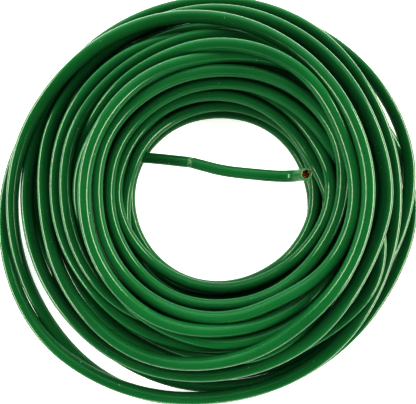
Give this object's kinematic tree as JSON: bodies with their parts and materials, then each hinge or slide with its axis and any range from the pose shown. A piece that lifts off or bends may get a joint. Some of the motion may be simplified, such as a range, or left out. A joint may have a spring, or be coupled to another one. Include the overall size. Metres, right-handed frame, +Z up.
{
  "type": "coil of insulated wire",
  "caption": "Loose, untied coil of single-conductor stranded wire with green PVC insulation; the inner end crosses the open centre and turns up, cut square to show its strands.",
  "frame": {"origin": "on the floor under the middle of the coil's outline box", "axes": "+Z up out of the coil's flat face, +X along the coil's widest way, from the side where the inner end comes out towards the side that its cut end points to"},
  "size_m": [0.122, 0.117, 0.0196],
  "materials": {
    "insulation": "semi-gloss extruded PVC, green",
    "copper": "bare copper strands, square cut"
  },
  "bodies": {
    "root": {"wound_coil": "insulation", "outer_loop": "insulation", "under_loop": "insulation", "crossing_loop": "insulation", "inner_tail": "insulation", "outer_end_jacket": "insulation", "inner_end_jacket": "insulation", "strand_01": "copper", "strand_02": "copper", "strand_03": "copper", "strand_04": "copper", "strand_05": "copper", "strand_06": "copper", "strand_07": "copper", "strand_08": "copper", "strand_09": "copper", "strand_10": "copper", "strand_11": "copper", "strand_12": "copper", "strand_13": "copper", "strand_14": "copper", "strand_15": "copper", "strand_16": "copper", "strand_17": "copper", "strand_18": "copper", "strand_19": "copper"}
  },
  "joints": []
}
